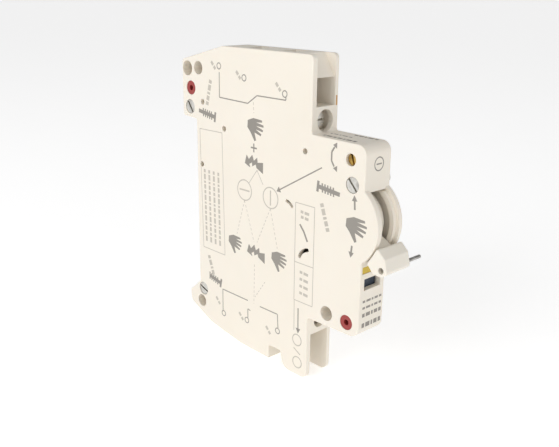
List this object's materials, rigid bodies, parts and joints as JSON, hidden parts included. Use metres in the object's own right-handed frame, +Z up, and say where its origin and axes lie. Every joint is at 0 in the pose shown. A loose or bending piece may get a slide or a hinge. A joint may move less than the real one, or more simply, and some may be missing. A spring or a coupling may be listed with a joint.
{
  "type": "breaker signalling contact module",
  "caption": "Half-module auxiliary signalling contact that screws to the side of a residual current breaker, with a lever whose pin follows the breaker handle.",
  "frame": {"origin": "where the lever's turning axis meets the mating face", "axes": "+X out of the mating face towards the breaker, +Y from the front to the rail, +Z up"},
  "size_m": [0.0143, 0.0707, 0.0797],
  "materials": {
    "housing_plastic": "fine moulded texture",
    "lever_plastic": "smooth moulded",
    "bright_steel": "bright plated",
    "spring_steel": "drawn wire",
    "zinc_steel": "zinc plated",
    "red_plastic": "satin",
    "yellow_plastic": "satin",
    "blue_plastic": "satin",
    "white_plastic": "satin",
    "grey_plastic": "satin",
    "brass": "turned",
    "copper_alloy": "rolled",
    "silver": "satin"
  },
  "bodies": {
    "housing": {"housing_left": "housing_plastic", "housing_right": "housing_plastic", "fastening_screws": "bright_steel", "dowels": "red_plastic", "marker_strip": "yellow_plastic", "toggle_axle": "bright_steel", "trip_lever_pin": "bright_steel", "reset_lever_pin": "bright_steel", "fixed_contact_tips": "silver", "blade_pin_top": "bright_steel", "blade_pin_bottom": "bright_steel", "strip_top_a": "brass", "strip_top_b": "brass", "strip_top_c": "brass", "strip_bottom_a": "brass", "strip_bottom_b": "brass", "strip_bottom_c": "brass"},
    "lever": {"toggle_lever": "lever_plastic", "coupling_pin": "spring_steel"},
    "carrier": {"contact_carrier": "grey_plastic"},
    "upper_blade": {"blade_top": "copper_alloy", "blade_tips_top": "silver"},
    "lower_blade": {"blade_bottom": "copper_alloy", "blade_tips_bottom": "silver"},
    "trip": {"trip_lever": "grey_plastic"},
    "flag": {"trip_flag": "blue_plastic", "flag_slide": "white_plastic"},
    "reset": {"reset_lever": "grey_plastic"},
    "selector": {"selector_screw": "brass", "selector_cam": "grey_plastic"},
    "screw_body_top_a": {"screw_top_a": "bright_steel"},
    "cage_body_top_a": {"cage_top_a": "zinc_steel"},
    "screw_body_top_b": {"screw_top_b": "bright_steel"},
    "cage_body_top_b": {"cage_top_b": "zinc_steel"},
    "screw_body_top_c": {"screw_top_c": "bright_steel"},
    "cage_body_top_c": {"cage_top_c": "zinc_steel"},
    "screw_body_bottom_a": {"screw_bottom_a": "bright_steel"},
    "cage_body_bottom_a": {"cage_bottom_a": "zinc_steel"},
    "screw_body_bottom_b": {"screw_bottom_b": "bright_steel"},
    "cage_body_bottom_b": {"cage_bottom_b": "zinc_steel"},
    "screw_body_bottom_c": {"screw_bottom_c": "bright_steel"},
    "cage_body_bottom_c": {"cage_bottom_c": "zinc_steel"}
  },
  "joints": [
    {"name": "lever_hinge", "type": "hinge", "parent": "housing", "child": "lever", "pos_m": [0, 0, 0], "axis": [-1, 0, 0], "range_deg": [0, 75]},
    {"name": "carrier_slide", "type": "slide", "parent": "housing", "child": "carrier", "axis": [0, 0, -1], "range_m": [0, 0.00416]},
    {"name": "upper_blade_hinge", "type": "hinge", "parent": "housing", "child": "upper_blade", "pos_m": [-0.0039, 0.0426, 0.01385], "axis": [1, 0, 0], "range_deg": [0, 9.5]},
    {"name": "lower_blade_hinge", "type": "hinge", "parent": "housing", "child": "lower_blade", "pos_m": [-0.0039, 0.0426, -0.02005], "axis": [1, 0, 0], "range_deg": [0, 9.5]},
    {"name": "trip_hinge", "type": "hinge", "parent": "housing", "child": "trip", "pos_m": [-0.0045, 0.0102, -0.0125], "axis": [-1, 0, 0], "range_deg": [0, 68]},
    {"name": "flag_slide", "type": "slide", "parent": "housing", "child": "flag", "axis": [0, 0, 1], "range_m": [0, 0.00291]},
    {"name": "reset_hinge", "type": "hinge", "parent": "housing", "child": "reset", "pos_m": [-0.0045, 0.018, -0.0013], "axis": [1, 0, 0], "range_deg": [0, 48]},
    {"name": "selector_hinge", "type": "hinge", "parent": "housing", "child": "selector", "pos_m": [-0.006, -0.0018, 0.0145], "axis": [-1, 0, 0], "range_deg": [0, 90]},
    {"name": "turn_top_a", "type": "hinge", "parent": "housing", "child": "screw_body_top_a", "pos_m": [-0.00435, 0.012, 0.021], "axis": [0, 1, 0], "range_deg": [0, 1080]},
    {"name": "clamp_top_a", "type": "slide", "parent": "housing", "child": "cage_body_top_a", "axis": [0, -1, 0], "range_m": [0, 0.0015]},
    {"name": "turn_top_b", "type": "hinge", "parent": "housing", "child": "screw_body_top_b", "pos_m": [-0.00435, 0.024, 0.0259], "axis": [0, 1, 0], "range_deg": [0, 1080]},
    {"name": "clamp_top_b", "type": "slide", "parent": "housing", "child": "cage_body_top_b", "axis": [0, -1, 0], "range_m": [0, 0.0015]},
    {"name": "turn_top_c", "type": "hinge", "parent": "housing", "child": "screw_body_top_c", "pos_m": [-0.00435, 0.037, 0.0292], "axis": [0, 1, 0], "range_deg": [0, 1080]},
    {"name": "clamp_top_c", "type": "slide", "parent": "housing", "child": "cage_body_top_c", "axis": [0, -1, 0], "range_m": [0, 0.0015]},
    {"name": "turn_bottom_a", "type": "hinge", "parent": "housing", "child": "screw_body_bottom_a", "pos_m": [-0.00435, 0.012, -0.0288], "axis": [0, 1, 0], "range_deg": [0, 1080]},
    {"name": "clamp_bottom_a", "type": "slide", "parent": "housing", "child": "cage_body_bottom_a", "axis": [0, -1, 0], "range_m": [0, 0.0015]},
    {"name": "turn_bottom_b", "type": "hinge", "parent": "housing", "child": "screw_body_bottom_b", "pos_m": [-0.00435, 0.024, -0.0345], "axis": [0, 1, 0], "range_deg": [0, 1080]},
    {"name": "clamp_bottom_b", "type": "slide", "parent": "housing", "child": "cage_body_bottom_b", "axis": [0, -1, 0], "range_m": [0, 0.0015]},
    {"name": "turn_bottom_c", "type": "hinge", "parent": "housing", "child": "screw_body_bottom_c", "pos_m": [-0.00435, 0.037, -0.0377], "axis": [0, 1, 0], "range_deg": [0, 1080]},
    {"name": "clamp_bottom_c", "type": "slide", "parent": "housing", "child": "cage_body_bottom_c", "axis": [0, -1, 0], "range_m": [0, 0.0015]}
  ],
  "couplings": [
    {"joint": "carrier_slide", "follows": "lever_hinge", "m_per_rad": 0.0031624},
    {"joint": "upper_blade_hinge", "follows": "lever_hinge", "ratio": 0.12551},
    {"joint": "lower_blade_hinge", "follows": "lever_hinge", "ratio": 0.12551},
    {"joint": "trip_hinge", "follows": "flag_slide", "rad_per_m": 408.15},
    {"joint": "turn_top_a", "follows": "clamp_top_a", "rad_per_m": 12566},
    {"joint": "turn_top_b", "follows": "clamp_top_b", "rad_per_m": 12566},
    {"joint": "turn_top_c", "follows": "clamp_top_c", "rad_per_m": 12566},
    {"joint": "turn_bottom_a", "follows": "clamp_bottom_a", "rad_per_m": 12566},
    {"joint": "turn_bottom_b", "follows": "clamp_bottom_b", "rad_per_m": 12566},
    {"joint": "turn_bottom_c", "follows": "clamp_bottom_c", "rad_per_m": 12566}
  ]
}
